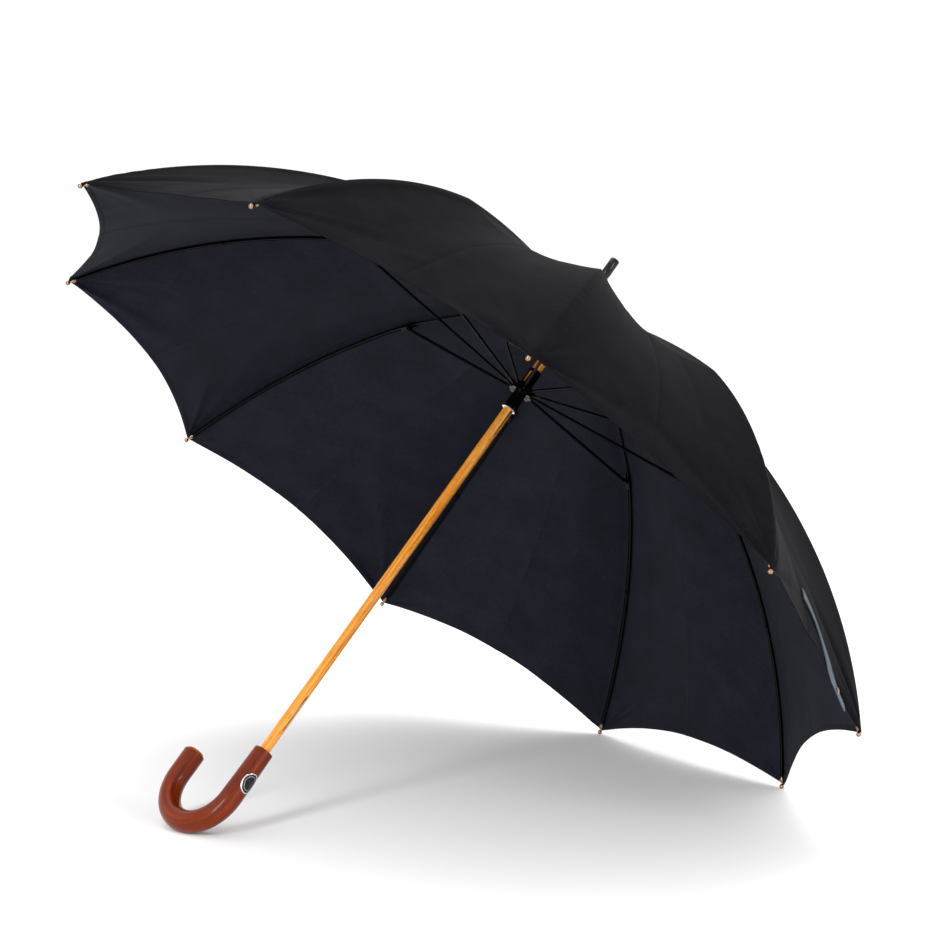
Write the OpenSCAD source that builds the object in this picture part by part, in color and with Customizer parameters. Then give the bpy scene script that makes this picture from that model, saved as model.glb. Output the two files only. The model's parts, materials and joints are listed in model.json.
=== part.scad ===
// Open ten-rib stick umbrella with a crook handle, lying open on two rib tips and the bottom of its crook.
// It is drawn in its own axes: the shaft stands along Z, the ferrule up, and the rib tips lie in the plane
// z = 0. place() then leans it over on to the floor. Millimetres and degrees throughout.

/* [Ribs] */
// Radius of the circle through the rib tips
tip_circle_r = 585; // [560:5:610]
// Height of the ribs' hinges above the tip circle
crown_z = 297; // [290:1:304]
// Radius at which ribs and stretchers are hinged round the shaft
hinge_r = 12; // [12:0.5:13]
// Length from a rib's hinge to its stretcher's hinge, and of the stretcher
link = 290; // [285:1:295]
// Angle between a rib's link line and the shaft when open
open_angle = 77.5; // [75:0.5:79]
// Bend of the inner rod along its length
inner_bend = 16; // [10:1:20]
// Bend of the outer rod along its length
outer_bend = 31; // [20:1:36]
// Diameter of the inner rod
inner_rod_d = 3.2; // [2.8:0.1:3.4]
// Diameter of the outer rod
outer_rod_d = 2.6; // [2.2:0.1:2.6]
// Diameter of the stretcher's rod
stretcher_d = 2.8; // [2.4:0.1:2.8]
// Diameter of the ball on each rib tip
tip_ball_d = 6; // [5:0.5:7]
// Length of the metal tip, ball included
tip_length = 14; // [12:1:16]

/* [Canopy] */
// Length of gore that the hem is cut back by at mid gore
hem_cut = 29; // [20:1:50]
// Inward sag of the hem at mid gore
gore_sag = 12; // [4:1:14]
// Further inward sag between crown and hem, deepest at two fifths of the way down
gore_belly = 14; // [0:1:18]
// Thickness of the canopy solid
cloth_t = 0.8; // [0.6:0.1:1]

/* [Shaft] */
// Diameter of the wooden shaft
shaft_d = 13; // [12.6:0.1:13]
// Height of the ferrule's far end above the tip circle
ferrule_top = 385; // [378:1:392]
// Diameter of the metal ferrule
ferrule_d = 12.4; // [12:0.1:12.6]
// Length of the metal ferrule
ferrule_length = 28; // [24:1:30]

/* [Handle] */
// Depth of the handle's upper end below the tip circle
handle_drop = 385; // [380:1:390]
// Diameter of the handle at its upper end
handle_top_d = 24.4; // [24:0.2:26]
// Diameter of the bent part
crook_d = 27.2; // [26:0.2:28]
// Length of the handle's straight part
handle_straight = 68; // [64:1:72]
// Radius of the crook's centre line
crook_r = 50; // [48:1:54]
// Length of the straight end of the crook
crook_end = 32; // [20:1:36]
// Direction in which the crook turns, round the shaft
crook_azimuth = 97; // [90:1:100]

/* [Runner] */
// Length of the sleeve below the stretchers' hinges
sleeve_below = 31; // [28:1:34]
// Length of the sleeve above the stretchers' hinges
sleeve_above = 30.5; // [28:0.5:34]
// Outside diameter of the sleeve
sleeve_d = 16.4; // [16:0.1:17]

/* [Hidden] */
$fn = 32;
ribs = 10;
pitch = 360 / ribs;
half_gore = pitch / 2;
// Azimuth of rib 1; the two lowest ribs stand half a gore either side of straight down
first_rib = half_gore;
catch_azimuth = crook_azimuth + 180;

// Points in a rib's plane are [distance from the shaft's axis, height]
rib_hinge = [hinge_r, crown_z];
link_hinge = rib_hinge + link * [sin(open_angle), -cos(open_angle)];
hub_z = crown_z - 2 * link * cos(open_angle);
hub_hinge = [hinge_r, hub_z];
// The rib's centre line passes this far outside the stretcher's hinge
hinge_offset = 7.3;

// Heading of the line from p to q, and the arc that joins them while turning down by bend:
// [start point, heading at its start, radius, bend]
function heading(p, q) = atan2(q[1] - p[1], q[0] - p[0]);
function arc_between(p, q, bend) = [p, heading(p, q) + bend / 2, norm(q - p) / 2 / sin(bend / 2), bend];
function arc_centre(a) = a[0] + a[2] * [sin(a[1]), -cos(a[1])];
function arc_length(a) = a[2] * a[3] * PI / 180;
function arc_turn(a, along) = along / a[2] * 180 / PI;
function arc_point(a, along) =
    arc_centre(a) + a[2] * [-sin(a[1] - arc_turn(a, along)), cos(a[1] - arc_turn(a, along))];
function arc_heading(a, along) = a[1] - arc_turn(a, along);

// The joint between inner and outer rods stands square off the link hinge
link_heading = heading(rib_hinge, link_hinge);
joint_heading = link_heading - inner_bend / 2;
rod_joint = link_hinge + hinge_offset * [-sin(joint_heading), cos(joint_heading)];
tip_centre = [tip_circle_r, 0];
inner_arc = arc_between(rib_hinge, rod_joint, inner_bend);
outer_arc = arc_between(rod_joint, tip_centre, outer_bend);
inner_length = arc_length(inner_arc);
outer_length = arc_length(outer_arc);
rib_length = inner_length + outer_length;
tip_heading = arc_heading(outer_arc, outer_length);

// Rib's centre line and heading at a length along it from the crown
function rib_point(along) = along < inner_length
    ? arc_point(inner_arc, along) : arc_point(outer_arc, along - inner_length);
function rib_heading(along) = along < inner_length
    ? arc_heading(inner_arc, along) : arc_heading(outer_arc, along - inner_length);

// Pins and tongues of the hinges
pin_r = 0.8;
pin_hole_r = 0.86;
tongue_t = 1.8;
slot_w = 2.4;
notch_r = 15.5;

// Lean of the shaft from upright, at which the two lowest tips and the crook touch the floor together
crook_centre_z = -handle_drop - handle_straight;
function tips_low(lean) = -tip_circle_r * cos(half_gore) * sin(lean) - tip_ball_d / 2;
function crook_low(lean) =
    let (side = -cos(crook_azimuth) * sin(lean), down = cos(lean))
    side * crook_r + crook_centre_z * down - crook_r * norm([side, down]) - crook_d / 2;
function find_lean(low, high, steps) =
    let (mid = (low + high) / 2)
    steps == 0 ? mid
    : tips_low(mid) < crook_low(mid) ? find_lean(low, mid, steps - 1) : find_lean(mid, high, steps - 1);
lean = find_lean(30, 55, 40);

// The canopy's middle surface over a rib stands off the rod by this much, and more at the crown
cloth_offset = 2.8;
crown_rise = 4.2;
crown_rise_length = 46;
cloth_start = -5.1;
columns = 6;
panel_gap = 0.25;
// Rows of the cloth from crown to hem, one of them right over the joint of the rods
join_s = (inner_length - cloth_start) / (rib_length - cloth_start - 2);
inner_rows = 6;
outer_rows = 9;
row_s = [for (i = [0 : inner_rows]) join_s * i / inner_rows,
    for (i = [1 : outer_rows]) join_s + (1 - join_s) * i / outer_rows];
rows = inner_rows + outer_rows;
function ease(u) = u * (2 - u);
function rise(along) = crown_rise * pow(max(0, 1 - max(0, along) / crown_rise_length), 2);
function sag(s) = gore_sag * s + gore_belly * sin(180 * pow(s, 1.1));
function cloth_along(s, u) = cloth_start + (rib_length - cloth_start - 2) * s - hem_cut * s * s * ease(u);
// Point of the cloth at s from crown to hem and side from -1 to 1 across the panel, lifted off the rib
function cloth_point(s, side, lift) =
    let (u = abs(side), theta = u * half_gore, along = cloth_along(s, u),
        p = rib_point(along), h = rib_heading(along),
        off = cloth_offset + rise(along) + lift - sag(s) * ease(u),
        across = cos(half_gore) / cos(half_gore - theta),
        r = (p[0] - off * sin(h)) * across, z = p[1] + off * cos(h))
    [r * cos(theta), sign(side) * (r * sin(theta) - panel_gap * u), z];

// The model's centre along X, from its furthest points either way
function placed_x(p) = p[0] * cos(lean) + p[2] * sin(lean);
function turned(p, a) = [p[0] * cos(a) - p[1] * sin(a), p[0] * sin(a) + p[1] * cos(a), p[2]];
x_high = max([for (s = row_s) for (j = [0 : columns])
    placed_x(turned(cloth_point(s, 2 * j / columns - 1, cloth_t), half_gore))]);
x_low = -tip_circle_r * cos(half_gore) * cos(lean) - tip_ball_d / 2;

module place() {
    translate([-(x_high + x_low) / 2, 0, -tips_low(lean)]) rotate([0, lean, 0]) children();
}

module at_rib(number) {
    rotate(first_rib + (number - 1) * pitch) children();
}

// Stands children in a rib's plane at p, with X along the heading and Z outward
module in_plane(p, h) {
    translate([p[0], 0, p[1]]) rotate([0, -h, 0]) children();
}

module cross_pin(r, width) {
    rotate([90, 0, 0]) cylinder(r = r, h = width, center = true);
}

// Length of an arc as a round rod
module arc_rod(a, from, to, d) {
    centre = arc_centre(a);
    start = 90 + a[1] - arc_turn(a, to);
    translate([centre[0], 0, centre[1]]) rotate([90, 0, 0]) rotate(start)
        rotate_extrude(angle = arc_turn(a, to - from), $fn = 720)
            translate([a[2], 0]) circle(d = d, $fn = 24);
}

// Flat tongue with its pin hole, from a hinge along X
module tongue(r, reach) {
    difference() {
        union() {
            cross_pin(r, tongue_t);
            translate([0, -tongue_t / 2, -r * 0.7]) cube([reach, tongue_t, r * 1.4]);
        }
        cross_pin(pin_hole_r, tongue_t + 1);
    }
}

// Ring cut by ten radial slots, with a pin across each
module notched_ring(z, height, slot_from) {
    difference() {
        translate([0, 0, z - height / 2]) cylinder(r = notch_r, h = height, $fn = 96);
        for (i = [1 : ribs]) at_rib(i)
            translate([slot_from, -slot_w / 2, z - height])
                cube([notch_r, slot_w, 2 * height]);
    }
    for (i = [1 : ribs]) at_rib(i) translate([hinge_r, 0, z]) cross_pin(pin_r, slot_w + 1.6);
}

// Catch: a flat wedge on a trunnion, sprung out of a slot in the shaft
catch_t = 1.6;
catch_slot_w = 2.4;
catch_length = 42;
catch_foot_r = 3.2;
catch_nose_r = 8.3;
catch_nose = 10;
slot_floor_r = 0.8;
// Heights of the catches' trunnions, below and above their noses
top_catch_z = hub_z - 25 - catch_length;
bottom_catch_z = -349;
module catch_slot(z) {
    translate([slot_floor_r, -catch_slot_w / 2, z - 5]) cube([shaft_d, catch_slot_w, catch_length + 10]);
}

module spring_catch(z) {
    rotate(catch_azimuth) translate([0, 0, z]) {
        rotate([90, 0, 0]) translate([0, 0, -catch_t / 2]) linear_extrude(catch_t) {
            translate([catch_foot_r, 0]) circle(r = 1.7);
            polygon([[catch_foot_r - 1.4, 0], [catch_foot_r + 1.4, 0], [5.9, catch_length - catch_nose - 3],
                [catch_nose_r, catch_length - 3], [catch_nose_r, catch_length], [3.6, catch_length]]);
        }
        translate([catch_foot_r, 0, 0]) cross_pin(pin_r, 6);
    }
}

module shaft() {
    stub_z = crown_z + 5;
    cap_z = ferrule_top - ferrule_length;
    color("burlywood") place() difference() {
        union() {
            translate([0, 0, -handle_drop - 45]) cylinder(d = shaft_d, h = handle_drop + 45 + stub_z, $fn = 64);
            translate([0, 0, stub_z - 1]) cylinder(d1 = ferrule_d, d2 = ferrule_d - 0.4, h = cap_z - stub_z + 1);
            translate([0, 0, cap_z - 1]) cylinder(d = ferrule_d - 2, h = ferrule_length - 3);
        }
        for (z = [top_catch_z, bottom_catch_z]) rotate(catch_azimuth) {
            catch_slot(z);
            translate([catch_foot_r, 0, z]) cross_pin(pin_hole_r, 7);
        }
    }
}

// The metal cap on the shaft's end, and the washer that holds the cloth down round the shaft
module ferrule() {
    cap_z = ferrule_top - ferrule_length;
    round_r = 1.6;
    bore_r = ferrule_d / 2 + 0.05;
    wash_z = crown_z + 7.2;
    wash_r = 17;
    color("dimgray") place() {
        rotate_extrude(angle = 360, $fn = 64) difference() {
            union() {
                translate([0, cap_z]) square([ferrule_d / 2, ferrule_length - round_r]);
                translate([0, ferrule_top - round_r - 0.01]) square([ferrule_d / 2 - round_r, round_r + 0.01]);
                intersection() {
                    translate([ferrule_d / 2 - round_r, ferrule_top - round_r]) circle(r = round_r, $fn = 24);
                    translate([0, cap_z]) square([ferrule_d, ferrule_length]);
                }
            }
            translate([-1, cap_z - 1]) square([ferrule_d / 2, ferrule_length - 2]);
        }
        rotate_extrude(angle = 360, $fn = 64) polygon([[bore_r, wash_z + 1.4], [9, wash_z + 1.1],
            [wash_r, wash_z], [wash_r, wash_z + 0.8], [10, wash_z + 2.4], [bore_r, wash_z + 3.6]]);
    }
}

module crown_notch() {
    color("black") place() difference() {
        union() {
            notched_ring(crown_z, 9, 8.5);
            translate([0, 0, crown_z - 12]) cylinder(d = 16, h = 12);
        }
        translate([0, 0, crown_z - 20]) cylinder(d = shaft_d, h = 40, $fn = 64);
    }
}

module runner() {
    bottom = hub_z - sleeve_below;
    window_low = top_catch_z + catch_length - catch_nose - 1 - bottom;
    color("black") place() difference() {
        union() {
            notched_ring(hub_z, 10, 8.6);
            translate([0, 0, bottom]) cylinder(d = sleeve_d, h = sleeve_below + sleeve_above, $fn = 64);
            translate([0, 0, bottom]) cylinder(d = sleeve_d + 1.6, h = 2.4, $fn = 64);
        }
        translate([0, 0, bottom - 1]) cylinder(d = shaft_d + 0.7, h = sleeve_below + sleeve_above + 2, $fn = 64);
        // window that the catches spring into
        rotate(catch_azimuth) translate([0, -1.6, bottom + window_low])
            cube([sleeve_d, 3.2, catch_nose + 2]);
        // two long windows in the upper sleeve
        for (a = [0, 180]) rotate(catch_azimuth + 90 + a) translate([0, -2.5, hub_z + 9])
            cube([sleeve_d, 5, sleeve_above - 13]);
    }
}

module top_catch() {
    color("silver") place() spring_catch(top_catch_z);
}

module bottom_catch() {
    color("silver") place() spring_catch(bottom_catch_z);
}

// Oval badge bent round the handle, on the side away from the crook, seated in a pocket as deep as it is thick
badge_long = 27;
badge_wide = 22;
badge_inner_r = 12.3;
badge_outer_r = 13.6;
badge_z = -429;
module badge_form(from_r, to_r, grow) {
    intersection() {
        rotate(catch_azimuth) translate([shaft_d / 2 + 0.3, 0, badge_z]) rotate([90, 0, 90])
            linear_extrude(to_r) scale([badge_wide / 2 + grow, badge_long / 2 + grow]) circle(r = 1, $fn = 72);
        translate([0, 0, badge_z]) rotate_extrude(angle = 360, $fn = 64)
            translate([from_r, -badge_long]) square([to_r - from_r, 2 * badge_long]);
    }
}

module handle_badge() {
    color("black") place() badge_form(badge_inner_r, badge_outer_r, 0);
}

module crook_handle() {
    nose_z = crook_centre_z + crook_end;
    nose_r = crook_d / 2;
    bevel = 5;
    color("sienna") place() difference() {
        rotate(crook_azimuth) {
            translate([0, 0, -handle_drop - handle_straight])
                cylinder(d1 = crook_d, d2 = handle_top_d, h = handle_straight, $fn = 64);
            translate([crook_r, 0, crook_centre_z]) rotate([90, 0, 0]) rotate(180)
                rotate_extrude(angle = 180, $fn = 128) translate([crook_r, 0]) circle(d = crook_d, $fn = 64);
            translate([2 * crook_r, 0, crook_centre_z]) cylinder(d = crook_d, h = crook_end, $fn = 64);
            translate([2 * crook_r, 0, nose_z]) cylinder(r1 = nose_r, r2 = nose_r - 2, h = 2, $fn = 64);
            translate([2 * crook_r, 0, nose_z + 2])
                cylinder(r1 = nose_r - 2, r2 = nose_r - 2 - bevel, h = 2.5, $fn = 64);
        }
        translate([0, 0, -handle_drop - 46]) cylinder(d = shaft_d + 0.1, h = 50, $fn = 64);
        badge_form(badge_inner_r - 0.05, badge_outer_r + 5, 0.05);
    }
}

// Two cheeks that hold the rod ends and the stretcher's hinge
cheek_t = 1.2;
cheek_gap = 3;
module bracket() {
    reach_in = 12;
    reach_out = 15;
    in_plane(rod_joint, joint_heading) {
        for (side = [-1, 1]) translate([0, side * (cheek_gap + cheek_t) / 2 + cheek_t / 2, 0])
            rotate([90, 0, 0]) linear_extrude(cheek_t) {
                polygon([[-reach_in, -1.6], [-reach_in + 3, -3.4], [-3, -4.4], [-2.6, -hinge_offset],
                    [2.6, -hinge_offset], [3, -4.4], [reach_out, -4.4], [reach_out, -1],
                    [2, 1.1], [-reach_in, 0.1]]);
                translate([0, -hinge_offset]) circle(r = 2.6);
            }
        translate([6, -cheek_gap / 2 - 0.1, -4.4]) cube([reach_out - 6, cheek_gap + 0.2, 1.1]);
        cross_pin(pin_r, cheek_gap + cheek_t);
        translate([0, 0, -hinge_offset]) cross_pin(pin_r, cheek_gap + cheek_t);
    }
}

module rib_inner(number) {
    color("black") place() at_rib(number) {
        in_plane(rib_hinge, inner_arc[1]) tongue(3, 10);
        arc_rod(inner_arc, 9, inner_length - 4, inner_rod_d);
        bracket();
    }
}

module rib_outer(number) {
    color("black") place() at_rib(number) {
        in_plane(rod_joint, outer_arc[1]) tongue(2, 6);
        arc_rod(outer_arc, 5, outer_length - tip_length + tip_ball_d / 2, outer_rod_d);
    }
}

module rib_tip(number) {
    stem = tip_length - tip_ball_d / 2;
    color("darkkhaki") place() at_rib(number) in_plane(tip_centre, tip_heading) {
        sphere(d = tip_ball_d, $fn = 32);
        rotate([0, 90, 0]) translate([0, 0, -stem]) {
            cylinder(d = outer_rod_d + 1.4, h = stem);
            translate([0, 0, 1]) cylinder(d = outer_rod_d + 1.9, h = 1.6);
        }
    }
}

module stretcher(number) {
    run = norm(link_hinge - hub_hinge);
    color("black") place() at_rib(number) in_plane(hub_hinge, heading(hub_hinge, link_hinge)) {
        tongue(2.4, 10);
        translate([run, 0, 0]) mirror([1, 0, 0]) tongue(2.4, 10);
        translate([9, 0, 0]) rotate([0, 90, 0]) cylinder(d = stretcher_d, h = run - 18, $fn = 24);
    }
}

// Closed sheet from two matching grids of points, the first on the inside of the umbrella
module sheet_solid(inner_grid, outer_grid, rows, columns) {
    wide = columns + 1;
    layer = (rows + 1) * wide;
    function quad(a, b, c, d) = [[a, b, c], [a, c, d]];
    under = [for (i = [0 : rows - 1]) for (j = [0 : columns - 1])
        let (a = i * wide + j) each quad(a, a + wide, a + wide + 1, a + 1)];
    over = [for (f = under) [f[0] + layer, f[2] + layer, f[1] + layer]];
    rim = concat([for (j = [0 : columns]) j], [for (i = [1 : rows]) i * wide + columns],
        [for (j = [columns - 1 : -1 : 0]) rows * wide + j], [for (i = [rows - 1 : -1 : 1]) i * wide]);
    sides = [for (k = [0 : len(rim) - 1]) let (a = rim[k], b = rim[(k + 1) % len(rim)])
        each quad(a, b, b + layer, a + layer)];
    polyhedron(concat(inner_grid, outer_grid), concat(under, over, sides));
}

// One panel of cloth, centred on its rib and reaching to the middle of the gore either side
module canopy(number) {
    function grid(lift) = [for (s = row_s) for (j = [0 : columns])
        cloth_point(s, 2 * j / columns - 1, lift)];
    color("darkslategray") place() at_rib(number) sheet_solid(grid(0), grid(cloth_t), rows, columns);
}

// Tie strap along the hem of rib 9's panel, as [s, side] of its middle from sewn end to loose end
strap_rib = 9;
strap_w = 16;
strap_t = 1.2;
strap_lift = cloth_t + 0.8;
strap_steps = 6;
function strap_at(t) = [0.9 + 0.12 * sin(90 * pow(t, 1.2)), 0.65 * t - 0.97];
module tie_strap() {
    half = strap_w / 2 / rib_length;
    function grid(lift) = [for (i = [0 : strap_steps]) let (k = strap_at(i / strap_steps)) for (j = [-1, 1])
        cloth_point(k[0] - j * half, k[1], lift)];
    color("dimgray") place() at_rib(strap_rib)
        sheet_solid(grid(strap_lift), grid(strap_lift + strap_t), strap_steps, 1);
}

module strap_snap() {
    k = strap_at(5 / strap_steps);
    theta = k[1] * half_gore;
    h = rib_heading(cloth_along(k[0], abs(k[1])));
    color("silver") place() at_rib(strap_rib) translate(cloth_point(k[0], k[1], strap_lift + strap_t + 1))
        rotate([0, 0, theta]) rotate([0, -h, 0]) {
            cylinder(r = 4.2, h = 0.8);
            cylinder(r = 2.4, h = 2);
        }
}

shaft();
crook_handle();
handle_badge();
ferrule();
crown_notch();
runner();
top_catch();
bottom_catch();
tie_strap();
strap_snap();
rib_inner(1);  // rib_01_inner
rib_inner(2);  // rib_02_inner
rib_inner(3);  // rib_03_inner
rib_inner(4);  // rib_04_inner
rib_inner(5);  // rib_05_inner
rib_inner(6);  // rib_06_inner
rib_inner(7);  // rib_07_inner
rib_inner(8);  // rib_08_inner
rib_inner(9);  // rib_09_inner
rib_inner(10);  // rib_10_inner
rib_outer(1);  // rib_01_outer
rib_outer(2);  // rib_02_outer
rib_outer(3);  // rib_03_outer
rib_outer(4);  // rib_04_outer
rib_outer(5);  // rib_05_outer
rib_outer(6);  // rib_06_outer
rib_outer(7);  // rib_07_outer
rib_outer(8);  // rib_08_outer
rib_outer(9);  // rib_09_outer
rib_outer(10);  // rib_10_outer
rib_tip(1);  // rib_01_tip
rib_tip(2);  // rib_02_tip
rib_tip(3);  // rib_03_tip
rib_tip(4);  // rib_04_tip
rib_tip(5);  // rib_05_tip
rib_tip(6);  // rib_06_tip
rib_tip(7);  // rib_07_tip
rib_tip(8);  // rib_08_tip
rib_tip(9);  // rib_09_tip
rib_tip(10);  // rib_10_tip
stretcher(1);  // stretcher_01
stretcher(2);  // stretcher_02
stretcher(3);  // stretcher_03
stretcher(4);  // stretcher_04
stretcher(5);  // stretcher_05
stretcher(6);  // stretcher_06
stretcher(7);  // stretcher_07
stretcher(8);  // stretcher_08
stretcher(9);  // stretcher_09
stretcher(10);  // stretcher_10
canopy(1);  // canopy_01
canopy(2);  // canopy_02
canopy(3);  // canopy_03
canopy(4);  // canopy_04
canopy(5);  // canopy_05
canopy(6);  // canopy_06
canopy(7);  // canopy_07
canopy(8);  // canopy_08
canopy(9);  // canopy_09
canopy(10);  // canopy_10
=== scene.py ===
"""Looks of an open stick umbrella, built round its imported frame.

The umbrella has its own axes, in millimetres: the shaft stands along Z with the ferrule up, and the rib tips lie
in the plane z = 0. place() turns points from those axes into the row's frame, in metres.
"""
import json
import math

import bpy
import numpy as np
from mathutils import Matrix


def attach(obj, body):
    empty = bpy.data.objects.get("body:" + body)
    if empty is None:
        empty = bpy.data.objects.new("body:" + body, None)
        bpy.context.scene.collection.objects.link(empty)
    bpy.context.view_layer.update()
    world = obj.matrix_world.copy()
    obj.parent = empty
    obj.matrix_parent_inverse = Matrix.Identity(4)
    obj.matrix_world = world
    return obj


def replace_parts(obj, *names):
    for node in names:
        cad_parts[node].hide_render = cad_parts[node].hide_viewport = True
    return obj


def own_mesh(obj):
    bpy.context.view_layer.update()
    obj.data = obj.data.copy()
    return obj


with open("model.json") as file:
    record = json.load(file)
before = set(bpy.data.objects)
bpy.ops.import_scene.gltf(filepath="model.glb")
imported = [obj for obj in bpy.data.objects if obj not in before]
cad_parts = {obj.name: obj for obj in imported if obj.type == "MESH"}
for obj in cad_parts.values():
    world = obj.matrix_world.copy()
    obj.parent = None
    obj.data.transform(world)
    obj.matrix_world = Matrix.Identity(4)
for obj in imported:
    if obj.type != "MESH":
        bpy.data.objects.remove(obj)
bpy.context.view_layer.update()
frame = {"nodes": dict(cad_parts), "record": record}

MM = 0.001
RIBS = 10
HALF_GORE = math.pi / RIBS
NUMBERS = [f"{k:02d}" for k in range(1, RIBS + 1)]
ROOT = "shaft_and_handle"
RNG = np.random.default_rng(7)

# ---------------------------------------------------------------- the umbrella's own axes

JOINTS = {j["name"]: j for j in frame["record"]["behaviour"]["joints"]}
HINGES = np.array([JOINTS[f"rib_{n}_fold"]["pos_m"] for n in NUMBERS])
TANGENTS = np.array([JOINTS[f"rib_{n}_fold"]["axis"] for n in NUMBERS])
CROWN_Z = 297.0
TIP_R = 585.0


def unit(v):
    """Vectors scaled to length one along the last axis."""
    v = np.asarray(v, float)
    return v / np.linalg.norm(v, axis=-1, keepdims=True)


# The hinge axes turn evenly round the shaft, so neighbours' cross products point along it
SHAFT_UP = unit(np.cross(TANGENTS, np.roll(TANGENTS, -1, axis=0)).sum(axis=0))
RADIALS = np.cross(TANGENTS, SHAFT_UP)
LOW_SIDE = unit(RADIALS[0] + RADIALS[-1])
AXES = np.array([LOW_SIDE, np.cross(SHAFT_UP, LOW_SIDE), SHAFT_UP])
ORIGIN = HINGES.mean(axis=0) - SHAFT_UP * CROWN_Z * MM
LEAN = math.atan2(SHAFT_UP[0], SHAFT_UP[2])


def place(points):
    """Umbrella millimetres to row metres: origin + x, y and z times the umbrella's three axes."""
    return ORIGIN + MM * np.asarray(points, float) @ AXES


def own_axes(point):
    """Row metres back to umbrella millimetres."""
    return (np.asarray(point, float) - ORIGIN) @ AXES.T / MM


def in_rib_plane(point):
    """Distance from the shaft's axis and height of a row point."""
    x, y, z = own_axes(point)
    return np.array([math.hypot(x, y), z])


def azimuth(number):
    """Azimuth of a rib: half a gore for rib 1, then a tenth of a turn each."""
    return HALF_GORE * (2 * number - 1)


def turned(r, theta, z):
    """Points at radius r, azimuth theta and height z."""
    r, theta, z = np.broadcast_arrays(r, theta, z)
    return np.stack([r * np.cos(theta), r * np.sin(theta), z], axis=-1)


RIB_HINGE = in_rib_plane(HINGES[0])
LINK_HINGE = in_rib_plane(JOINTS["stretcher_01_swing"]["pos_m"])
ROD_JOINT = in_rib_plane(JOINTS["rib_01_flex"]["pos_m"])
HUB_Z = in_rib_plane(JOINTS["runner_ride"]["pos_m"])[1]
INNER_BEND = math.radians(16)
OUTER_BEND = math.radians(31)


class Arc:
    """Arc in a rib's plane from p to q that turns down by bend: centre, radius and first heading."""

    def __init__(self, p, q, bend):
        chord = np.asarray(q) - p
        self.start = math.atan2(chord[1], chord[0]) + bend / 2
        self.radius = math.hypot(*chord) / 2 / math.sin(bend / 2)
        self.centre = p + self.radius * np.array([math.sin(self.start), -math.cos(self.start)])
        self.length = self.radius * bend

    def at(self, along):
        """Point and heading at a length along: the centre plus the radius square to the heading."""
        h = self.start - along / self.radius
        return self.centre[0] - self.radius * np.sin(h), self.centre[1] + self.radius * np.cos(h), h


INNER_ARC = Arc(RIB_HINGE, ROD_JOINT, INNER_BEND)
OUTER_ARC = Arc(ROD_JOINT, np.array([TIP_R, 0.0]), OUTER_BEND)
RIB_LENGTH = INNER_ARC.length + OUTER_ARC.length


def rib_line(along):
    """The rib's centre line: the inner arc, then the outer one."""
    first = INNER_ARC.at(along)
    second = OUTER_ARC.at(along - INNER_ARC.length)
    return [np.where(along < INNER_ARC.length, a, b) for a, b in zip(first, second)]


# ---------------------------------------------------------------- meshes

def linear(code):
    """sRGB hex code to the linear red, green, blue and alpha that shaders take."""
    c = np.array([int(code[k:k + 2], 16) for k in (1, 3, 5)]) / 255
    return (*np.where(c <= 0.04045, c / 12.92, ((c + 0.055) / 1.055) ** 2.4), 1.0)


def new_piece(name, points, faces, finish, body, uv=None, sharp=40, painted_underside=None):
    """Mesh object from umbrella-frame points and faces, smooth except over sharp edges, riding on a body."""
    mesh = bpy.data.meshes.new(name)
    mesh.from_pydata(place(points).tolist(), [], faces.tolist() if hasattr(faces, "tolist") else faces)
    mesh.polygons.foreach_set("use_smooth", np.ones(len(mesh.polygons), bool))
    if uv is not None:
        corners = np.empty(len(mesh.loops), np.int32)
        mesh.loops.foreach_get("vertex_index", corners)
        layer = mesh.uv_layers.new(name="cloth")
        layer.data.foreach_set("uv", np.asarray(uv)[corners].ravel())
    mesh.set_sharp_from_angle(angle=math.radians(sharp))
    mesh.validate()
    piece = bpy.data.objects.new(name, mesh)
    bpy.context.collection.objects.link(piece)
    piece.data.materials.append(FINISHES[finish])
    # Second finish over a range of faces: here only the cover's underside, a lighter, bluer copy of the cloth that
    # is painted light
    if painted_underside:
        second, first_face, end_face = painted_underside
        piece.data.materials.append(FINISHES[second])
        which = np.zeros(len(mesh.polygons), np.int32)
        which[first_face:end_face] = 1
        mesh.polygons.foreach_set("material_index", which)
    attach(piece, body)
    return piece


def grid_faces(rows, columns, wrap=False, flip=False):
    """Quads over a rows by columns grid of points, closed across the columns if wrapped."""
    i = np.arange(rows - 1)[:, None]
    j = np.arange(columns if wrap else columns - 1)[None, :]
    k = (j + 1) % columns
    quads = np.stack([i * columns + j, (i + 1) * columns + j, (i + 1) * columns + k, i * columns + k], axis=-1)
    quads = quads.reshape(-1, 4)
    return quads[:, [0, 3, 2, 1]] if flip else quads


def shell(outer, inner):
    """Closed sheet between two grids of points: both grids' quads and a rim joining their edges."""
    rows, columns = outer.shape[:2]
    layer = rows * columns
    index = np.arange(layer).reshape(rows, columns)
    rim = np.concatenate([index[0], index[1:, -1], index[-1, -2::-1], index[-2:0:-1, 0]])
    after = np.roll(rim, -1)
    sides = np.stack([rim, after, after + layer, rim + layer], axis=-1)
    faces = np.concatenate([grid_faces(rows, columns), grid_faces(rows, columns, flip=True) + layer, sides])
    return np.concatenate([outer.reshape(-1, 3), inner.reshape(-1, 3)]), faces


def keep_unbent(piece, radii, along, sides):
    """Stores where each point of a swept rod would lie if it were straight, as (x, y, length along) in metres."""
    angle = np.arange(sides) * 2 * math.pi / sides
    ring = np.stack(np.broadcast_arrays(np.cos(angle) * radii[:, None], np.sin(angle) * radii[:, None],
                                        along[:, None]), axis=-1).reshape(-1, 3)
    ends = np.array([[0, 0, along[0]], [0, 0, along[-1]]])
    layer = piece.data.attributes.new("unbent", "FLOAT_VECTOR", "POINT")
    layer.data.foreach_set("vector", (np.concatenate([ring, ends]) * MM).astype(np.float32).ravel())


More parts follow.
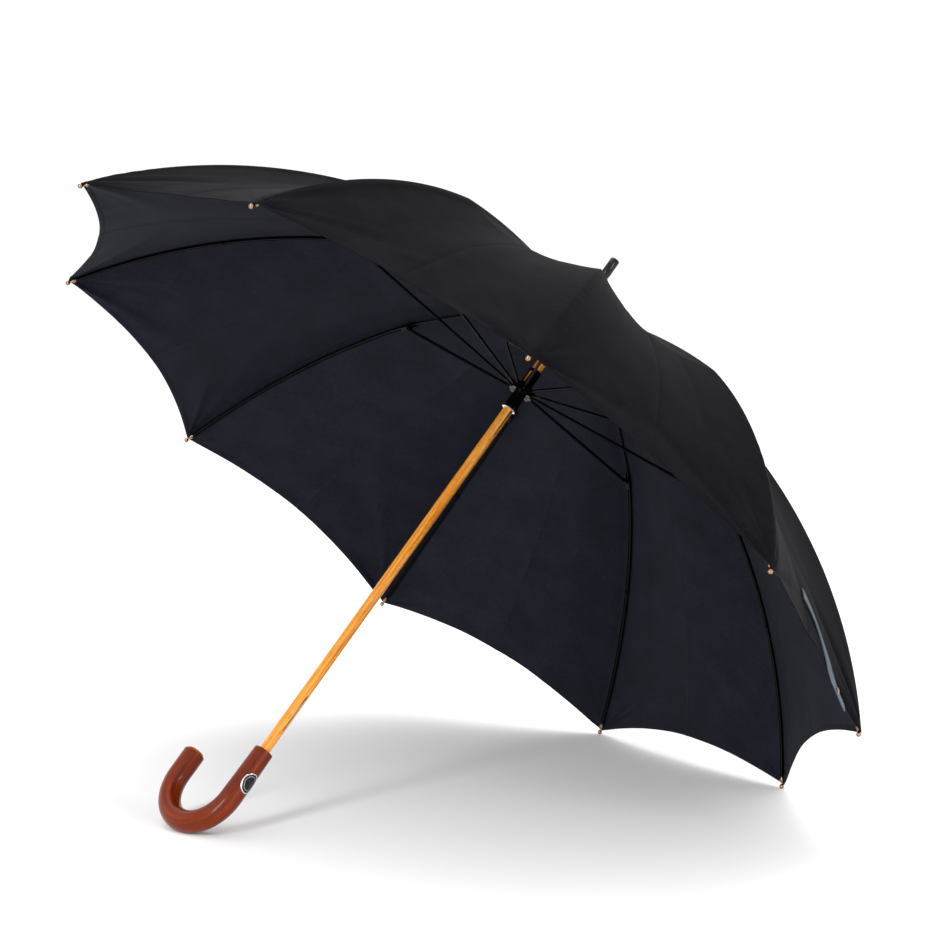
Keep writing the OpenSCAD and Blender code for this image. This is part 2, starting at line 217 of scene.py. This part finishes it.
def sweep(centres, side_a, side_b, radii, sides=40):
    """Round rod: at each centre a ring of the given radius in the plane of two unit vectors; fans close its ends."""
    angle = np.arange(sides) * 2 * math.pi / sides
    ring = np.cos(angle)[None, :, None] * side_a[:, None, :] + np.sin(angle)[None, :, None] * side_b[:, None, :]
    points = (centres[:, None, :] + np.asarray(radii)[:, None, None] * ring).reshape(-1, 3)
    rows = len(centres)
    points = np.concatenate([points, centres[[0, -1]]])
    j = np.arange(sides)
    k = (j + 1) % sides
    last = (rows - 1) * sides
    start = np.stack([np.full(sides, rows * sides), j, k], axis=-1)
    end = np.stack([np.full(sides, rows * sides + 1), last + k, last + j], axis=-1)
    quads = grid_faces(rows, sides, wrap=True)
    return points, quads.tolist() + start.tolist() + end.tolist()


def lathe(profile, origin=(0, 0, 0), heading=(0, 0, 1), sides=40):
    """Round solid about a line: the profile's (radius, height) pairs turned about the heading."""
    profile = np.asarray(profile, float)
    h = unit(heading)
    a = unit(np.cross(h, (0.3, 0.5, 0.8) if abs(h[2]) > 0.9 else (0, 0, 1)))
    b = np.cross(h, a)
    centres = np.asarray(origin, float) + profile[:, 1:] * h
    n = len(profile)
    return sweep(centres, np.tile(b, (n, 1)), np.tile(a, (n, 1)), profile[:, 0], sides)


def rounding(centre_r, centre_z, radius, start, end, steps=6):
    """Quarter-round of a profile: centre plus radius at angles from start to end degrees."""
    a = np.radians(np.linspace(start, end, steps))
    return [(centre_r + radius * math.cos(t), centre_z + radius * math.sin(t)) for t in a]


# ---------------------------------------------------------------- materials

FINISHES = {}


def add(tree, kind, inputs=None, **settings):
    """A node with its settings, and its inputs as values or as (node, output) links."""
    made = tree.nodes.new(kind)
    for key, value in settings.items():
        setattr(made, key, value)
    for key, value in (inputs or {}).items():
        if isinstance(value, tuple) and isinstance(value[0], bpy.types.Node):
            tree.links.new(value[0].outputs[value[1]], made.inputs[key])
        else:
            made.inputs[key].default_value = value
    return made


def finish_of(name, **surface):
    """New material with its surface shader's plain values set; returns the tree and the shader."""
    mat = bpy.data.materials.new(name)
    mat.use_nodes = True
    tree = mat.node_tree
    shader = tree.nodes["Principled BSDF"]
    for key, value in surface.items():
        shader.inputs[key.replace("_", " ")].default_value = value
    FINISHES[name] = mat
    return tree, shader


def ramp(tree, source, stops):
    """Colour ramp over a node's output, from (place, hex code) stops."""
    made = add(tree, "ShaderNodeValToRGB", {"Fac": source})
    elements = made.color_ramp.elements
    while len(elements) < len(stops):
        elements.new(0.5)
    for element, (at, code) in zip(elements, stops):
        element.position = at
        element.color = linear(code)
    return made


def bump(tree, shader, height, distance, strength=1.0):
    """Bump on the shader's normal, its depth in metres."""
    made = add(tree, "ShaderNodeBump", {"Height": height, "Distance": distance, "Strength": strength})
    tree.links.new(made.outputs["Normal"], shader.inputs["Normal"])


def along_shaft(tree):
    """Object coordinates turned so that Z runs along the leaning shaft."""
    where = add(tree, "ShaderNodeTexCoord")
    return add(tree, "ShaderNodeMapping", {"Vector": (where, "Object"), "Rotation": (0, -LEAN, 0)})


def along_bend(tree):
    """Coordinates of the crook as it was before bending, with Z along the wood."""
    where = add(tree, "ShaderNodeAttribute", attribute_name="unbent")
    return add(tree, "ShaderNodeMapping", {"Vector": (where, "Vector")})


def wood(name, stops, grain_mm, streak_mm, coat, gloss, pores, axes):
    """Straight-grained wood under lacquer: fibres a few tenths of a millimetre wide and far longer than wide,
    broader streaks of early and late wood, and small dark pores; the lacquer gives a clear, even gloss."""
    tree, shader = finish_of(name, Roughness=gloss, Specular_IOR_Level=0.12, Coat_Weight=coat, Coat_Roughness=0.1,
                             Coat_IOR=1.3)
    grain = axes(tree)
    long = add(tree, "ShaderNodeMapping", {"Vector": (grain, "Vector"), "Scale": (1, 1, 0.035)})
    fibre = add(tree, "ShaderNodeTexNoise", {"Vector": (long, "Vector"), "Scale": 1 / (grain_mm * MM),
                                             "Detail": 5})
    streak = add(tree, "ShaderNodeTexNoise", {"Vector": (long, "Vector"), "Scale": 1 / (streak_mm * MM),
                                              "Detail": 3})
    both = add(tree, "ShaderNodeMix", {"Factor": 0.42, "A": (streak, "Fac"), "B": (fibre, "Fac")})
    colour = ramp(tree, (both, "Result"), stops)
    fine = add(tree, "ShaderNodeMapping", {"Vector": (grain, "Vector"), "Scale": (1, 1, 0.09)})
    pore = add(tree, "ShaderNodeTexNoise", {"Vector": (fine, "Vector"), "Scale": 1 / (0.5 * MM), "Detail": 2})
    mask = ramp(tree, (pore, "Fac"), [(0.60, "#000000"), (0.70, "#ffffff")])
    dark = add(tree, "ShaderNodeMix", {"Factor": (mask, "Color"), "A": (colour, "Color"), "B": linear(pores)},
               data_type="RGBA")
    tree.links.new(dark.outputs["Result"], shader.inputs["Base Color"])
    bump(tree, shader, (fibre, "Fac"), 0.00004, 0.5)


def coated(name, code, roughness, grit_mm, depth_mm, **more):
    """Lacquered, plated or moulded part: one colour, a gloss that varies a little, and a faint surface ripple."""
    tree, shader = finish_of(name, Base_Color=linear(code), **more)
    where = add(tree, "ShaderNodeTexCoord")
    grit = add(tree, "ShaderNodeTexNoise", {"Vector": (where, "Object"), "Scale": 1 / (grit_mm * MM), "Detail": 4})
    spread = add(tree, "ShaderNodeMapRange", {"Value": (grit, "Fac"), "To Min": roughness * 0.75,
                                              "To Max": roughness * 1.3})
    tree.links.new(spread.outputs["Result"], shader.inputs["Roughness"])
    bump(tree, shader, (grit, "Fac"), depth_mm * MM, 0.5)


def cloth(name, dark, light, thread_mm, lustre):
    """Plain-woven pongee: fine filament yarn, dyed black, slightly lustrous. Threads are 0.2 mm apart, finer
    than shows, so the weave is drawn coarser, with slubs along warp and weft and a soft mottle."""
    tree, shader = finish_of(name, Roughness=0.6, Sheen_Weight=0.004, Sheen_Roughness=0.3,
                             Sheen_Tint=linear("#c9ccd6"), Specular_IOR_Level=lustre)
    where = add(tree, "ShaderNodeUVMap", uv_map="cloth")
    weave = []
    for across, along in ((1, 0.12), (0.12, 1)):
        stretched = add(tree, "ShaderNodeMapping", {"Vector": (where, "UV"), "Scale": (across, along, 1)})
        weave.append(add(tree, "ShaderNodeTexNoise", {"Vector": (stretched, "Vector"), "Scale": 1 / thread_mm,
                                                      "Detail": 3}))
    threads = add(tree, "ShaderNodeMix", {"Factor": 0.5, "A": (weave[0], "Fac"), "B": (weave[1], "Fac")})
    mottle = add(tree, "ShaderNodeTexNoise", {"Vector": (where, "UV"), "Scale": 0.02, "Detail": 4})
    mixed = add(tree, "ShaderNodeMix", {"Factor": 0.35, "A": (threads, "Result"), "B": (mottle, "Fac")})
    colour = ramp(tree, (mixed, "Result"), [(0.36, dark), (0.64, light)])
    tree.links.new(colour.outputs["Color"], shader.inputs["Base Color"])
    bump(tree, shader, (threads, "Result"), 0.0002, 0.35)


# Clear-varnished ash shaft: pale honey with darker straight grain
wood("shaft_wood", [(0.34, "#b06414"), (0.45, "#d68428"), (0.56, "#e69c40"), (0.68, "#f6c27c")],
     0.9, 3.5, 0.35, 0.3, "#8a4a10", along_shaft)
# Red-brown stained crook under gloss lacquer, grain nearly hidden by the stain
wood("handle_wood", [(0.32, "#471402"), (0.46, "#632005"), (0.58, "#782a07"), (0.7, "#8e3a0d")],
     1.1, 7.0, 0.35, 0.3, "#421402", along_bend)
# The crook's nose, where end grain takes the stain thinly
wood("nose_wood", [(0.34, "#8a4512"), (0.5, "#a85c1e"), (0.66, "#be7630")], 0.8, 3.0, 0.3, 0.34, "#6d310c",
     along_bend)
# Stove-enamelled steel ribs and stretchers
coated("black_metal", "#040405", 0.3, 3.0, 0.01, Specular_IOR_Level=0.12)
# Moulded nylon runner and crown
coated("black_plastic", "#050506", 0.2, 2.0, 0.008, Specular_IOR_Level=0.2)
# Black lacquered ferrule and washer
coated("ferrule", "#070708", 0.14, 4.0, 0.004, Specular_IOR_Level=0.3)
# Rose-tinted plated brass rib tips
coated("brass", "#9c7a60", 0.16, 1.2, 0.01, Metallic=1.0)
coated("spring_steel", "#b4b4b0", 0.22, 1.0, 0.006, Metallic=1.0)
coated("chrome", "#dcdcdf", 0.07, 2.0, 0.003, Metallic=1.0)
coated("badge", "#040405", 0.1, 5.0, 0.002, Specular_IOR_Level=0.3)
cloth("cover", "#0b0a0d", "#161519", 1.1, 0.012)
# Underside of the same black cover cloth, drawn lighter and bluer than the top side: painted light on the shaded
# underside, not a second fabric
cloth("cover_underside_painted_light", "#111219", "#1d1f29", 1.1, 0.06)
cloth("strap", "#39434c", "#56626d", 0.9, 0.3)
cloth("binding", "#020203", "#060608", 0.9, 0.05)


# ---------------------------------------------------------------- cover

CLOTH_OFFSET = 3.2
CLOTH_T = 0.45
CROWN_RISE = 4.2
CROWN_RISE_LENGTH = 46.0
CLOTH_START = -5.1
HEM_CUT = 29.0
GORE_SAG = 12.0
GORE_BELLY = 14.0
HEM_W = 7.0
GORE_W = 2 * TIP_R * math.sin(HALF_GORE)

# Each gore's and each tip's own phases and strengths, so that no two wrinkle alike
PHASE = RNG.uniform(0, 2 * math.pi, (RIBS, 8))
SLACK = RNG.uniform(0.6, 1.3, (RIBS, 8))


def ease(u):
    """Rises from 0 to 1 and arrives level: u times (2 - u)."""
    return u * (2 - u)


def fan(x, y, reach, count, phase):
    """Folds spreading from a rib tip, for a point x across and y up the rib from it: narrow creases at even steps
    of the angle round the tip, growing from the tip and dying out over the reach."""
    rho = np.hypot(x, y) + 1e-6
    angle = np.arctan2(x, y)
    swell = (1 - np.exp(-rho / 14)) * np.exp(-rho / reach)
    return swell * (0.35 - np.exp(3 * (np.cos(count * angle + phase) - 1))) * ease(np.clip(x / 14, 0, 1))


def wrinkles(s, gore, w):
    """How far the cloth stands off its tight shape, in millimetres, at s from crown to hem and w across a gore:
    slow waves of slack cloth, fans of folds from both tips, gathers along both seams, the seam's raised welt and
    pressed creases."""
    up = (1 - s) * RIB_LENGTH
    width = GORE_W * s
    left, right = w * width, (1 - w) * width
    after = (gore + 1) % RIBS
    body = np.sin(math.pi * w) ** 2 * s
    out = 1.3 * body * SLACK[gore, 0] * np.sin(7 * s + 3 * w + PHASE[gore, 0])
    out += 0.7 * body * SLACK[gore, 1] * np.sin(16 * s - 5 * w + PHASE[gore, 1])
    out += 0.9 * body * SLACK[gore, 2] * np.sin(2 * math.pi * w * 3 + 2.5 * s + PHASE[gore, 2])
    for x, rib, n in ((left, gore, 3), (right, after, 5)):
        out += 6.5 * SLACK[rib, n] * fan(x, up, 75, 7, PHASE[rib, n])
        out += 2.0 * SLACK[rib, n + 1] * fan(x, up, 60, 12, PHASE[rib, n + 1])
        seam = np.exp(-x / 9) * ease(np.clip(x / 5, 0, 1)) * np.clip(s * 2.5 - 0.5, 0, 1)
        out += 0.3 * SLACK[rib, 7] * seam * np.sin(2 * math.pi * s * RIB_LENGTH / 21 + PHASE[rib, 7])
    out += 1.5 * np.exp(-((left - 7) / 4) ** 2) * np.clip(s * 2.5 - 0.3, 0, 1)
    for at, deep in ((0.5, 0.9), (0.27, 0.5), (0.74, 0.5)):
        out -= deep * SLACK[gore, 6] * np.exp(-np.abs(w - at) * width / 4) * np.clip(s * 3 - 0.4, 0, 1)
    return out * np.clip(s * 5, 0, 1)


def cloth_at(s, side, number, lift=0.0):
    """Cloth of one rib's panel at s from crown to hem and side from -1 to 1 across: straight across between
    neighbouring ribs, drawn in at mid gore, lifted clear of the rib, and wrinkled."""
    u = np.abs(side)
    theta = u * HALF_GORE
    along = CLOTH_START + (RIB_LENGTH - CLOTH_START - 2) * s - HEM_CUT * s * s * ease(u)
    r, z, h = rib_line(along)
    rise = CROWN_RISE * np.clip(1 - np.clip(along, 0, None) / CROWN_RISE_LENGTH, 0, None) ** 2
    sag = GORE_SAG * s + GORE_BELLY * np.sin(math.pi * np.clip(s, 0, 1) ** 1.1)
    off = CLOTH_OFFSET + rise + lift - sag * ease(u)
    gore = np.where(side >= 0, number - 1, number - 2) % RIBS
    off = off + wrinkles(s, gore, np.where(side >= 0, side / 2, 1 + side / 2))
    r = (r - off * np.sin(h)) * math.cos(HALF_GORE) / np.cos(HALF_GORE - theta)
    return turned(r, azimuth(number) + np.sign(side) * theta, z + off * np.cos(h)), along


def spaced(start, end, count, ends=0.4):
    """Values from start to end, closer together at both ends."""
    t = np.linspace(0, 1, count)
    t = (1 - ends) * t + ends * (1 - np.cos(math.pi * t)) / 2
    return start + (end - start) * t


JOIN_S = (INNER_ARC.length - CLOTH_START) / (RIB_LENGTH - CLOTH_START - 2)


def gather(piece):
    """Gives a piece its own copy of its mesh."""
    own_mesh(piece)


def cover_panel(number, name, body, s_values):
    """One stretch of a panel: a thin closed sheet whose hem is doubled inward."""
    columns = np.concatenate([spaced(-1, 0, 41), spaced(0, 1, 41)[1:]])
    s, side = np.meshgrid(s_values, columns, indexing="ij")
    middle, along = cloth_at(s, side, number)
    down, across = np.gradient(middle, axis=0), np.gradient(middle, axis=1)
    normal = unit(np.cross(down, across))
    to_hem = (1 - s) * RIB_LENGTH
    doubled = np.clip((HEM_W - to_hem) / 0.8, 0, 1)[..., None]
    outer = middle + normal * (CLOTH_T / 2 + 0.1 * doubled)
    inner = middle - normal * (CLOTH_T / 2 + 0.35 * doubled)
    points, faces = shell(outer, inner)
    uv = np.stack([side * GORE_W * s / 2 + 37 * number, along], axis=-1).reshape(-1, 2)
    one_side = (len(s_values) - 1) * (len(columns) - 1)
    # The sheet's underside faces take the lighter, bluer copy of the cover cloth: painted light
    piece = new_piece(name, points, faces, "cover", body, uv=np.concatenate([uv, uv]), sharp=50,
                      painted_underside=("cover_underside_painted_light", one_side, 2 * one_side))
    gather(piece)
    return piece


def cover():
    """Ten panels, each in two stretches that meet over the bracket: the outer one follows the outer rod."""
    for number, n in enumerate(NUMBERS, 1):
        top = cover_panel(number, f"cover_{n}_crown", f"rib_{n}_inner", spaced(0, JOIN_S, 46, 0.3))
        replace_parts(top, f"canopy_{n}")
        hem_rows = 1 - np.array([7.9, 7.1, 6.4, 3.2, 0.6, 0]) / RIB_LENGTH
        rows = np.concatenate([spaced(JOIN_S, hem_rows[0], 90, 0.3)[:-1], hem_rows])
        cover_panel(number, f"cover_{n}_hem", f"rib_{n}_outer", rows)


# ---------------------------------------------------------------- handle, shaft and ferrule

HANDLE_TOP = -385.0
HANDLE_TOP_R = 12.2
CROOK_TUBE_R = 13.6
HANDLE_STRAIGHT = 68.0
CROOK_R = 50.0
CROOK_END = 32.0
CROOK_AZIMUTH = math.radians(97)
SHAFT_R = 6.5


def crook_line(along):
    """Centre line of the crook: straight down, half round, and a short straight back up. Gives points, the
    direction across in the crook's plane and the direction square to the plane."""
    bend = np.clip((along - HANDLE_STRAIGHT) / CROOK_R, 0, math.pi)
    back = np.clip(along - HANDLE_STRAIGHT - math.pi * CROOK_R, 0, None)
    reach = CROOK_R * (1 - np.cos(bend))
    z = HANDLE_TOP - np.clip(along, None, HANDLE_STRAIGHT) - CROOK_R * np.sin(bend) + back
    out = np.array([math.cos(CROOK_AZIMUTH), math.sin(CROOK_AZIMUTH), 0])
    square = np.array([-out[1], out[0], 0])
    centres = reach[:, None] * out + z[:, None] * np.array([0, 0, 1.0])
    across = np.cos(bend)[:, None] * out + np.sin(bend)[:, None] * np.array([0, 0, 1.0])
    return centres, across, np.tile(square, (len(along), 1))


def handle():
    """The crook: eased top edge, swelling slightly towards the bend, and a nose with a bevel and low dome."""
    total = HANDLE_STRAIGHT + math.pi * CROOK_R + CROOK_END
    top = [(SHAFT_R + 0.1, 0), (HANDLE_TOP_R - 1.4, 0.0)] + [
        (r, -z) for r, z in rounding(HANDLE_TOP_R - 1.3, -1.3, 1.3, 80, 0)]
    body_at = np.concatenate([np.linspace(3, HANDLE_STRAIGHT, 20),
                              np.linspace(HANDLE_STRAIGHT + 2, total - 1, 110)])
    swell = np.clip(body_at / HANDLE_STRAIGHT, 0, 1)
    body = np.stack([HANDLE_TOP_R + (CROOK_TUBE_R - HANDLE_TOP_R) * swell, body_at], axis=-1)
    bevel = [(CROOK_TUBE_R - 0.15, total - 0.3), (CROOK_TUBE_R - 0.7, total)]
    along = np.concatenate([np.array(top), body, np.array(bevel)])
    points, faces = sweep(*crook_line(along[:, 1]), along[:, 0], sides=72)
    piece = new_piece("crook", points, faces, "handle_wood", ROOT, sharp=60)
    keep_unbent(piece, along[:, 0], along[:, 1], 72)
    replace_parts(piece, "crook_handle")
    cap = np.array([(CROOK_TUBE_R - 0.7, 0), (CROOK_TUBE_R - 2.6, 1.9)] + [
        ((CROOK_TUBE_R - 2.6) * math.cos(a), 1.9 + 2.6 * math.sin(a)) for a in np.radians([18, 36, 54, 72, 84])])
    points, faces = sweep(*crook_line(total + cap[:, 1]), cap[:, 0], sides=72)
    nose = new_piece("crook_nose", points, faces, "nose_wood", ROOT, sharp=70)
    keep_unbent(nose, cap[:, 0], total + cap[:, 1], 72)


BADGE_Z = -429.0
BADGE_LONG, BADGE_WIDE = 27.0, 22.0


def badge_surface(ring, angle, lift):
    """Point on the handle's side at a share of the badge's oval and angle round it, standing lift proud."""
    y = BADGE_WIDE / 2 * ring * np.cos(angle)
    z = BADGE_LONG / 2 * ring * np.sin(angle)
    swell = np.clip((HANDLE_TOP - BADGE_Z - z) / HANDLE_STRAIGHT, 0, 1)
    r = HANDLE_TOP_R + (CROOK_TUBE_R - HANDLE_TOP_R) * swell + lift
    theta = CROOK_AZIMUTH + math.pi + y / r
    return turned(r, theta, BADGE_Z + z)


def oval(name, rings, finish):
    """Oval plate bent round the handle from (share, lift) rings, closed in the middle if the last share is 0."""
    sides = 72
    angle = np.arange(sides) * 2 * math.pi / sides
    points = np.concatenate([badge_surface(s, angle, h) for s, h in rings])
    return new_piece(name, points, grid_faces(len(rings), sides, wrap=True), finish, ROOT,
                     sharp=60)


def badge():
    """Blank black enamel oval in a bright rim, with a plain raised line inside it."""
    field = [(0.9, -0.6), (0.9, 0.25), (0.86, 0.32), (0.5, 0.36), (0.001, 0.38), (0.001, -0.6)]
    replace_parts(oval("badge_field", field, "badge"), "handle_badge")
    rim = [(0.88, -0.5), (0.88, 0.42), (0.91, 0.62), (0.96, 0.62), (1.0, 0.3), (1.0, -0.5), (0.88, -0.5)]
    oval("badge_rim", rim, "chrome")
    oval("badge_line", [(0.66, 0.2), (0.66, 0.48), (0.69, 0.48), (0.69, 0.2), (0.66, 0.2)], "chrome")


def ferrule():
    """Pressed cap with a rounded end and a crimped groove, and the domed washer over the cloth."""
    low, high, r = 357.0, 385.0, 6.2
    cap = [(5.3, low), (5.9, low), (r, low + 0.3), (r, low + 2.2), (r - 0.35, low + 2.7), (r - 0.35, low + 3.3),
           (r, low + 3.8), (r, high - 2)] + rounding(r - 2, high - 2, 2, 15, 90) + [(0.01, high)]
    points, faces = lathe(cap, sides=64)
    made = new_piece("ferrule_cap", points, faces, "ferrule", ROOT)
    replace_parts(made, "ferrule")
    wash = [(6.3, 305.8), (9, 305.5), (16.6, 304.3), (17, 304.5), (17, 304.9), (16.4, 305.4), (10, 306.9),
            (8, 307.6), (6.8, 307.8), (6.3, 307.6), (6.3, 305.8)]
    points, faces = lathe(wash, sides=72)
    new_piece("cover_washer", points, faces, "ferrule", ROOT)


# ---------------------------------------------------------------- runner, tips and strap

def runner_ring():
    """Bright rolled ring round the runner's lower end."""
    low = HUB_Z - 31
    ring = [(7.0, low - 0.3), (8.6, low - 0.3), (9.3, low + 0.2), (9.5, low + 1.2), (9.3, low + 2.3),
            (8.6, low + 2.7)]
    points, faces = lathe(ring, sides=64)
    new_piece("runner_ring", points, faces, "chrome", "runner")


def channel(name, path, up, square, wide, deep, body):
    """Pressed steel channel over a rod: a round-cornered section carried along the path, its open side inward."""
    w, d, t = wide / 2, deep / 2, 0.45
    section = np.array([(-w, -d), (-w, d - 0.9), (-w + 0.3, d - 0.3), (-w + 0.9, d), (w - 0.9, d),
                        (w - 0.3, d - 0.3), (w, d - 0.9), (w, -d), (w - t, -d), (w - t, d - 0.9),
                        (w - 0.9, d - t), (-w + 0.9, d - t), (-w + t, d - 0.9), (-w + t, -d)])
    points = path[:, None] + section[None, :, :1] * square[:, None] + section[None, :, 1:] * up[:, None]
    n, k = len(path), len(section)
    faces = grid_faces(n, k, wrap=True, flip=True).tolist()
    lids = [(0, 1, 12, 13), (1, 2, 3, 11, 12), (3, 4, 10, 11), (4, 5, 6, 9, 10), (6, 7, 8, 9)]
    faces += [list(lid) for lid in lids] + [[(n - 1) * k + v for v in reversed(lid)] for lid in lids]
    return new_piece(name, points.reshape(-1, 3), faces, "black_metal", body, sharp=50)


def rib_channels():
    """Channels over the outer rods and stretchers."""
    along = np.linspace(INNER_ARC.length + 16, RIB_LENGTH - 13, 60)
    r, z, h = rib_line(along)
    hub = np.array([RIB_HINGE[0], HUB_Z])
    run = LINK_HINGE - hub
    length = math.hypot(*run)
    heading = math.atan2(run[1], run[0])
    t = np.linspace(14, length - 15, 24) / length
    for number, n in enumerate(NUMBERS, 1):
        a = azimuth(number)
        square = np.array([-math.sin(a), math.cos(a), 0])
        channel(f"outer_channel_{n}", turned(r, a, z), turned(-np.sin(h), a, np.cos(h)), np.tile(square, (60, 1)),
                4.2, 3.4, f"rib_{n}_outer")
        channel(f"stretcher_channel_{n}", turned(hub[0] + run[0] * t, a, hub[1] + run[1] * t),
                turned(np.full(24, -math.sin(heading)), a, np.full(24, math.cos(heading))),
                np.tile(square, (24, 1)), 3.8, 3.2, f"stretcher_{n}")


def rib_ties():
    """Thread wraps that hold the cloth to each outer rod part of the way down."""
    along = INNER_ARC.length + 0.46 * OUTER_ARC.length
    r, z, h = rib_line(along)
    wrap = [(2.3, -1.8), (2.75, -1.4), (2.55, -1.0), (2.75, -0.6), (2.55, -0.2), (2.75, 0.2),
            (2.55, 0.6), (2.75, 1.0), (2.55, 1.4), (2.3, 1.8)]
    for number, n in enumerate(NUMBERS, 1):
        a = azimuth(number)
        points, faces = lathe(wrap, turned(r, a, z), turned(math.cos(h), a, math.sin(h)), sides=24)
        new_piece(f"rib_tie_{n}", points, faces, "binding", f"rib_{n}_outer", sharp=30)


def rib_tips():
    """Turned tips: a cup over the rod's end, a waist where the cloth is sewn, and a ball."""
    stem = 11.0
    profile = [(1.4, -stem), (2.0, -stem), (2.1, -stem + 0.4), (2.1, -stem + 1.6), (2.9, -stem + 2.0),
               (3.0, -stem + 2.6), (2.4, -stem + 3.4), (1.7, -stem + 4.4), (1.4, -5.2), (1.3, -3.6), (1.5, -2.7)]
    ball = [(3 * math.cos(a), 3 * math.sin(a)) for a in np.radians(np.linspace(-58, 88, 12))]
    r, z, h = OUTER_ARC.at(OUTER_ARC.length)
    for number, n in enumerate(NUMBERS, 1):
        centre = turned(r, azimuth(number), z)
        heading = turned(math.cos(h), azimuth(number), math.sin(h))
        points, faces = lathe(profile + ball, centre, heading, sides=32)
        tip = new_piece(f"tip_{n}", points, faces, "brass", f"rib_{n}_outer", sharp=35)
        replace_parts(tip, f"rib_{n}_tip")


STRAP_RIB = 9
STRAP_W = 16.0
STUD_AT = 5 / 6


def strap_at(t):
    """Middle line of the strap, t from 0 at its sewn end to 1 at its loose end, as its place down the cover and
    its place across the panel: it leaves the seam steeply and ends along the hem."""
    return 0.9 + 0.12 * np.sin(math.pi / 2 * t ** 1.2), 0.65 * t - 0.97


def strap():
    """Folded and stitched strap lying along the hem, and its press stud."""
    t = np.linspace(0, 1, 61)
    s, side = strap_at(t)
    across = np.linspace(-1, 1, 9)
    half = STRAP_W / 2 / RIB_LENGTH
    grids = []
    edge = 0.25 * (np.abs(across) > 0.8)
    for lift in (0.9 - edge, 1.9 + edge):
        wave = 0.5 * np.sin(t * 10)[:, None]
        points, _ = cloth_at(s[:, None] - across * half, np.broadcast_to(side[:, None], (61, 9)), STRAP_RIB,
                             lift + wave + 0.2)
        grids.append(points)
    points, faces = shell(grids[1], grids[0])
    uv = np.stack(np.broadcast_arrays(t[:, None] * 90, across * 8), axis=-1).reshape(-1, 2)
    piece = new_piece("strap", points, faces, "strap", "rib_09_outer", uv=np.concatenate([uv, uv]))
    gather(piece)
    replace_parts(piece, "tie_strap")
    s, side = strap_at(np.array([STUD_AT]))
    spot, ahead = (cloth_at(s, side, STRAP_RIB, lift)[0][0] for lift in (3.0, 4.0))
    stud = [(4.4, -0.5), (4.6, 0), (4.4, 0.5), (3.4, 0.8), (3.0, 0.6), (2.4, 0.7), (2.2, 1.3), (1.6, 1.6),
            (0.01, 1.7)]
    points, faces = lathe(stud, spot, ahead - spot, sides=40)
    made = new_piece("snap", points, faces, "brass", "rib_09_outer")
    gather(made)
    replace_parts(made, "strap_snap")


# ---------------------------------------------------------------- CAD nodes that keep their shape

def keep_nodes():
    """Gives the CAD nodes that are shown as they are their finishes."""
    shown = {"shaft": "shaft_wood", "crown_notch": "black_plastic", "runner": "black_plastic",
             "top_catch": "spring_steel", "bottom_catch": "spring_steel"}
    for n in NUMBERS:
        shown.update({f"rib_{n}_inner": "black_metal", f"rib_{n}_outer": "black_metal",
                      f"stretcher_{n}": "black_metal"})
    for node, finish in shown.items():
        made = frame["nodes"][node]
        for k in range(max(1, len(made.material_slots))):
            if made.material_slots:
                made.material_slots[k].material = FINISHES[finish]
            else:
                made.data.materials.append(FINISHES[finish])


# ---------------------------------------------------------------- floor, light and camera

def studio():
    """White floor and soft light from all round, with a broad lamp overhead and two tall ones in front."""
    mesh = bpy.data.meshes.new("floor")
    far = 40.0
    mesh.from_pydata([(-far, -far, 0), (far, -far, 0), (far, far, 0), (-far, far, 0)], [], [(0, 1, 2, 3)])
    floor = bpy.data.objects.new("floor", mesh)
    bpy.context.collection.objects.link(floor)
    finish_of("floor_white", Base_Color=linear("#fdfdfd"), Roughness=1.0, Specular_IOR_Level=0.0)
    floor.data.materials.append(FINISHES["floor_white"])
    world = bpy.data.worlds.new("studio")
    bpy.context.scene.world = world
    world.use_nodes = True
    world.node_tree.nodes["Background"].inputs["Color"].default_value = linear("#ffffff")
    world.node_tree.nodes["Background"].inputs["Strength"].default_value = 1.06
    for name, wide, tall, power, where, aim in (("overhead", 3.0, 3.0, 45, (0.3, 0.6, 3.4), (0, 0, 0.3)),
                                                ("front_left", 0.6, 1.8, 75, (-3.4, -1.4, 2.0), (0, 0, 0.2)),
                                                ("front_right", 0.5, 1.5, 30, (0.4, -3.6, 1.6), (0, 0, 0.3))):
        lamp = bpy.data.lights.new(name, "AREA")
        lamp.shape = "RECTANGLE"
        lamp.size = wide
        lamp.size_y = tall
        lamp.energy = power
        holder = bpy.data.objects.new(name, lamp)
        bpy.context.collection.objects.link(holder)
        holder.location = where
        aim_at(holder, aim)
    bpy.context.scene.view_settings.view_transform = "Standard"


def aim_at(thing, target, roll=0.0):
    """Turns a lamp or camera to look at a point, level apart from the roll."""
    from mathutils import Quaternion, Vector
    look = Vector(target) - thing.location
    thing.rotation_mode = "QUATERNION"
    thing.rotation_quaternion = look.to_track_quat("-Z", "Y") @ Quaternion((0, 0, 1), roll)


def camera():
    """Long lens low in front, looking along the umbrella's open side."""
    azimuth_deg, elevation_deg, roll_deg = -37.56, 8.27, 1.3
    distance = 4.0
    target = np.array([0.0239, -0.0073, 0.4161])
    a, e = math.radians(azimuth_deg), math.radians(elevation_deg)
    back = np.array([math.sin(a) * math.cos(e), -math.cos(a) * math.cos(e), math.sin(e)])
    lens = bpy.data.cameras.new("camera")
    lens.lens = 125.8
    lens.sensor_width = 36.0
    holder = bpy.data.objects.new("camera", lens)
    bpy.context.collection.objects.link(holder)
    holder.location = target + back * distance
    aim_at(holder, target, math.radians(roll_deg))
    bpy.context.scene.camera = holder


camera()
studio()
keep_nodes()
cover()
handle()
badge()
ferrule()
runner_ring()
rib_channels()
rib_ties()
rib_tips()
strap()
